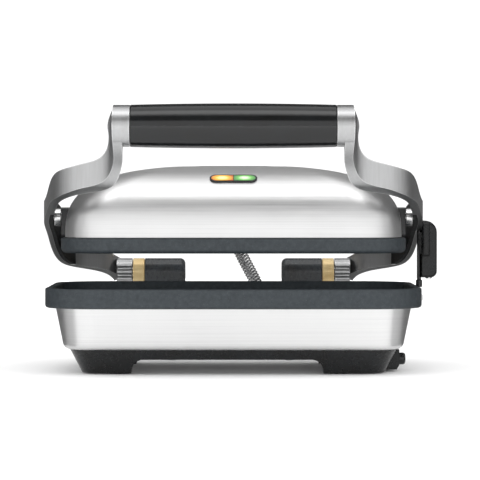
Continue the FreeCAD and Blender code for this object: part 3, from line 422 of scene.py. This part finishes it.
def hexagon(turn):
    """Distance to a hexagon's side at an angle, as a share of its distance across a flat."""
    sixth = math.radians(60)
    return 1 / math.cos((turn + sixth / 2) % sixth - sixth / 2)


def crosshead(turn):
    """Reach of a cross recess at an angle, as a share of its longest reach."""
    return 0.42 + 0.58 * abs(math.cos(2 * turn)) ** 3


def round_shape(turn):
    return 1.0


def turned_rings(middle, axis, outline):
    """Rings along an axis; the outline lists (along, radius, shape) in millimetres."""
    stand = Vector(axis).to_track_quat("Z", "Y")
    rings = []
    for along, radius, shape in outline:
        ring = []
        for j in range(AROUND):
            turn = 2 * math.pi * j / AROUND
            reach = radius * shape(turn)
            local = Vector((reach * math.cos(turn), reach * math.sin(turn), along)) / 1000
            ring.append(Vector(middle) + stand @ local)
        rings.append(ring)
    return rings


def screw_head(radius, high, recess, shape):
    """Outline of a domed head with a recess, from its seat up to its face."""
    return [
        (-high, radius * 0.9, round_shape),
        (-high, radius, round_shape),
        (-high * 0.45, radius, round_shape),
        (-high * 0.15, radius * 0.93, round_shape),
        (0, radius * 0.78, round_shape),
        (0, recess * 1.08, shape),
        (-high * 0.12, recess, shape),
        (-high * 0.75, recess * 0.9, shape),
        (-high * 0.8, recess * 0.1, shape),
    ]


def turned_piece(name, parts, finish, body):
    """One piece of several turned shapes, each a place, an axis and an outline."""
    spots, faces = [], []
    for middle, axis, outline in parts:
        skin(spots, faces, turned_rings(middle, axis, outline))
    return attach(add_piece(name, spots, faces, finish), body)


def screws():
    """Screw heads with their recesses, in place of the plain CAD ones."""
    low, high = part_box("grip_screws")
    middle = (low + high) / 2
    outline = screw_head(5.5, 1.6, 2.3, hexagon)
    parts = [((x, middle.y, middle.z), (side, 0, 0), outline)
             for side, x in ((-1, low.x), (1, high.x))]
    heads = turned_piece("grip_screw_heads", parts, BRIGHT, "arms")
    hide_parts("grip_screws")
    low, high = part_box("bottom_cover_screws")
    inset = 0.0034
    outline = screw_head(3.4, 1.6, 2.2, crosshead)
    parts = [((x, y, low.z), (0, 0, -1), outline)
             for x in (low.x + inset, high.x - inset) for y in (low.y + inset, high.y - inset)]
    heads = turned_piece("bottom_screw_heads", parts, BRIGHT, "base")
    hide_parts("bottom_cover_screws")
    low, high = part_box("paddle_screw")
    middle = (low + high) / 2
    outline = screw_head(3.0, 1.5, 2.0, crosshead)
    parts = [((middle.x, middle.y, low.z), (0, 0, -1), outline)]
    head = turned_piece("paddle_screw_head", parts, BRIGHT, "height_control")
    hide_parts("paddle_screw")


def pivot_plugs():
    """Flush plug with a hexagon socket over each side pin, in the arm's outer face."""
    outline = [
        (-1.2, 6.4, round_shape), (0.0, 6.4, round_shape), (0.25, 6.1, round_shape),
        (0.25, 2.7, hexagon), (-0.9, 2.6, hexagon), (-0.9, 0.3, hexagon),
    ]
    for side, word in ((-1, "left"), (1, "right")):
        low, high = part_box(f"pivot_pin_{word}")
        arm_low, arm_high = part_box(f"{word}_arm")
        middle = (low + high) / 2
        face = arm_low.x if side < 0 else arm_high.x
        parts = [((face, middle.y, middle.z), (side, 0, 0), outline)]
        turned_piece(f"pivot_plug_{word}", parts, BRIGHT, "arms")


def hinge_sleeves():
    """Turned sleeve over each arm's barrel; its inner end disc crosses the hinge pin."""
    low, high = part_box("hinge_bush_left")
    middle = (low + high) / 2
    outline = [
        (0.0, 11.5, round_shape), (0.0, 12.5, round_shape), (0.5, 13.05, round_shape),
        (13.8, 13.05, round_shape), (14.4, 12.5, round_shape), (14.4, 11.5, round_shape),
    ]
    for side, word in ((-1, "left"), (1, "right")):
        low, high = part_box(f"hinge_bush_{word}")
        gap = 0.0008
        start = (low.x if side < 0 else high.x) + side * gap
        parts = [((start, middle.y, middle.z), (side, 0, 0), outline)]
        turned_piece(f"hinge_sleeve_{word}", parts, SLEEVE, "arms")


def ferrule(name, middle, body):
    """Hexagon nut and sleeve that hold the conduit in its gland."""
    outline = [
        (0, 7.0, round_shape), (0, 7.9, hexagon), (0.5, 8.3, hexagon), (5.0, 8.3, hexagon),
        (5.5, 7.9, hexagon), (5.5, 7.2, round_shape), (8.0, 7.0, round_shape),
        (8.8, 6.5, round_shape),
    ]
    turned_piece(name, [(middle, (0, 1, 0), outline)], SATIN, body)


def rounded_loop(low, high, corner, steps=8):
    """Points of a rounded rectangle in plan, each with its outward direction."""
    loop = []
    for turn, (sx, sy) in enumerate(((1, 1), (-1, 1), (-1, -1), (1, -1))):
        heart = Vector((high.x - corner if sx > 0 else low.x + corner,
                        high.y - corner if sy > 0 else low.y + corner, 0))
        for i in range(steps + 1):
            angle = math.radians(90 * (turn + i / steps))
            out = Vector((math.cos(angle), math.sin(angle), 0))
            loop.append((heart + out * corner, out))
    return loop


def hood_gasket():
    """Black silicone bead between the hood's lower edge and the cast upper plate."""
    low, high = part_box("top_cover")
    bead, corner, bead_points = 0.0006, 0.042, 10
    level = Vector((0, 0, low.z + 0.0002))
    rings = []
    for spot, out in rounded_loop(low, high, corner):
        ring = []
        for j in range(bead_points):
            turn = 2 * math.pi * j / bead_points
            ring.append(spot + level + out * bead * math.cos(turn)
                        + Vector((0, 0, bead * 0.8 * math.sin(turn))))
        rings.append(ring)
    spots, faces = [], []
    skin(spots, faces, rings, looped=True)
    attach(add_piece("hood_gasket", spots, faces, RUBBER), "upper_unit")


# ---------------------------------------------------------------- conduit

CONDUIT_ROUTE = [
    (0.0330, 0.097, 0.046), (0.0330, 0.134, 0.046), (0.0262, 0.150, 0.068),
    (0.0044, 0.150, 0.108), (-0.0060, 0.138, 0.136), (-0.0060, 0.102, 0.136),
]
CONDUIT_RADIUS = 0.0061
WINDING_PITCH = 0.0030
WINDING_GROOVE = 0.0009
FIRST_CUT = 0.078  # heights at which one run ends and the next begins
SECOND_CUT = 0.106


def smooth_line(points):
    """Points along the smooth curve that a route's corners steer."""
    curve = bpy.data.curves.new("route", "CURVE")
    curve.dimensions = "3D"
    curve.resolution_u = 110
    spline = curve.splines.new("NURBS")
    spline.points.add(len(points) - 1)
    for control, place in zip(spline.points, points):
        control.co = (*place, 1)
    spline.order_u = 3
    spline.use_endpoint_u = True
    holder = bpy.data.objects.new("route", curve)
    mesh = bpy.data.meshes.new_from_object(holder)
    line = [vertex.co.copy() for vertex in mesh.vertices]
    bpy.data.meshes.remove(mesh)
    bpy.data.objects.remove(holder)
    bpy.data.curves.remove(curve)
    return line


def spiral_rings(line):
    """Rings of a spiral-wound tube: one groove runs round it at a steady pitch."""
    rings = []
    along = 0.0
    side = Vector((1, 0, 0))
    for i, spot in enumerate(line):
        before, after = line[max(i - 1, 0)], line[min(i + 1, len(line) - 1)]
        ahead = (after - before).normalized()
        side = (side - ahead * side.dot(ahead)).normalized()
        up = ahead.cross(side)
        along += (spot - before).length
        ring = []
        for j in range(AROUND):
            turn = 2 * math.pi * j / AROUND
            wave = 0.5 - 0.5 * math.cos(2 * math.pi * along / WINDING_PITCH - turn)
            reach = CONDUIT_RADIUS - WINDING_GROOVE * wave ** 3
            ring.append(spot + (side * math.cos(turn) + up * math.sin(turn)) * reach)
        rings.append(ring)
    return rings


def conduit():
    """The conduit in three runs, cut where its middle line rises past two heights, with a ferrule
    at each end.
    """
    rings = spiral_rings(smooth_line(CONDUIT_ROUTE))
    heights = [sum(spot.z for spot in ring) / AROUND for ring in rings]
    first = next(i for i, height in enumerate(heights) if height > FIRST_CUT)
    second = next(i for i, height in enumerate(heights) if height > SECOND_CUT)
    runs = [
        ("conduit_low", rings[:first + 1], "base", "hinge", 0.056, 0.074),
        ("conduit_middle", rings[first:second + 1], "hinge", "arms", 0.082, 0.102),
        ("conduit_high", rings[second:], "arms", "upper_unit", 0.110, 0.134),
    ]
    for name, run, below, above, start, end in runs:
        spots, faces = [], []
        skin(spots, faces, run)
        piece = add_piece(name, spots, faces, BRIGHT)
        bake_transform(piece)
        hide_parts("conduit")
    ends = [
        ("conduit_ferrule_low", "lower_conduit_gland", CONDUIT_ROUTE[0], "base"),
        ("conduit_ferrule_high", "upper_conduit_gland", CONDUIT_ROUTE[-1], "upper_unit"),
    ]
    for name, gland, end, body in ends:
        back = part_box(gland)[1].y
        ferrule(name, (end[0], back, end[2]), body)


screws()
pivot_plugs()
hinge_sleeves()
hood_gasket()
conduit()

# ---------------------------------------------------------------- studio and camera


def pale_floor():
    floor = Shader("studio_floor", Specular_IOR_Level=0.1, Emission_Strength=0.04)
    floor.set(Emission_Color=(1, 1, 1, 1))
    clouds = floor.noise(3.0, 2.0)
    floor.feed("Base Color", floor.ramp(clouds, (0.3, 0.90), (0.7, 0.92)))
    floor.feed("Roughness", floor.ramp(clouds, (0.3, 0.8), (0.7, 0.9)))
    bpy.ops.mesh.primitive_plane_add(size=60)
    plane = bpy.context.object
    plane.name = "studio_floor"
    plane.data.materials.append(floor.material)


def soft_box(name, middle, aim, wide, tall, radiance):
    """Rectangular light, unseen by the camera, of a given brightness as seen in a mirror."""
    light = bpy.data.lights.new(name, "AREA")
    light.shape = "RECTANGLE"
    light.size, light.size_y = wide, tall
    light.energy = radiance * math.pi * wide * tall
    lamp = bpy.data.objects.new(name, light)
    bpy.context.collection.objects.link(lamp)
    lamp.location = middle
    lamp.rotation_euler = (Vector(aim) - Vector(middle)).to_track_quat("-Z", "Y").to_euler()
    lamp.visible_camera = False
    return lamp


def flag(name, azimuths, near, far, tone):
    """Grey card that only shows in reflections: a band round the object between two rings.

    Azimuth 0 is the camera's side. Each ring is a distance from the middle and a height.
    """
    strips = 24
    first, last = azimuths
    turns = [math.radians(first + (last - first) * i / strips) for i in range(strips + 1)]
    spots = [(reach * math.sin(turn), -reach * math.cos(turn), high)
             for reach, high in (near, far) for turn in turns]
    faces = [(i, i + 1, i + strips + 2, i + strips + 1) for i in range(strips)]
    mesh = bpy.data.meshes.new(name)
    mesh.from_pydata(spots, [], faces)
    cloth = Shader(f"{name}_cloth", Roughness=0.9, Specular_IOR_Level=0.1)
    weave = cloth.noise(200.0, 2.0)
    cloth.feed("Base Color", cloth.ramp(weave, (0.3, tone * 0.9), (0.7, tone * 1.1)))
    mesh.materials.append(cloth.material)
    card = bpy.data.objects.new(name, mesh)
    bpy.context.collection.objects.link(card)
    card.visible_camera = False
    card.visible_diffuse = False
    card.visible_shadow = False


def studio():
    """White surroundings, one lamp above, and two lamps that only light matt shading."""
    bpy.context.scene.view_settings.view_transform = "Standard"
    world = bpy.data.worlds.new("studio")
    bpy.context.scene.world = world
    world.use_nodes = True
    sky = world.node_tree.nodes["Background"]
    sky.inputs["Color"].default_value = (1.0, 1.0, 1.0, 1)
    sky.inputs["Strength"].default_value = 1.16
    soft_box("top_box", (0, -0.75, 2.4), (0, 0, 0.15), 2.4, 0.9, 1.7)
    behind = soft_box("rear_box", (0, 2.6, 0.45), (0, 0, 0.05), 3.0, 0.9, 1.6)
    behind.visible_glossy = False
    ahead = soft_box("front_box", (0, -3.0, 0.25), (0, 0, 0.10), 3.0, 0.8, 9.0)
    ahead.visible_glossy = False
    flag("front_flag", (-80, 80), (3.0, 1.60), (3.0, 4.2), 0.08)
    flag("rear_flag", (96, 264), (3.0, 0.0), (3.0, 4.5), 0.10)
    flag("rear_top_flag", (96, 264), (3.0, 4.5), (2.4, 4.5), 0.30)
    flag("left_flag", (68, 96), (3.0, 0.0), (3.0, 2.6), 0.50)
    flag("right_flag", (264, 292), (3.0, 0.0), (3.0, 2.6), 0.50)
    flag("left_floor_flag", (60, 84), (0.19, 0.002), (3.0, 0.002), 0.45)
    flag("right_floor_flag", (276, 300), (0.19, 0.002), (3.0, 0.002), 0.45)
    flag("rear_floor_flag", (84, 276), (0.19, 0.002), (3.0, 0.002), 0.12)


SENSOR_WIDTH = 36.0  # millimetres
LENS_LENGTH = 216.6
EYE = Vector((0, -2.680, 0.1675))
TILT = math.radians(1.03)
PAN = math.radians(0.13)


def photo_camera():
    data = bpy.data.cameras.new("photo_camera")
    data.sensor_width = SENSOR_WIDTH
    data.lens = LENS_LENGTH
    data.clip_start, data.clip_end = 0.1, 60
    camera = bpy.data.objects.new("photo_camera", data)
    bpy.context.collection.objects.link(camera)
    camera.location = EYE
    camera.rotation_euler = (math.pi / 2 - TILT, 0, -PAN)
    bpy.context.scene.camera = camera


pale_floor()
studio()
photo_camera()
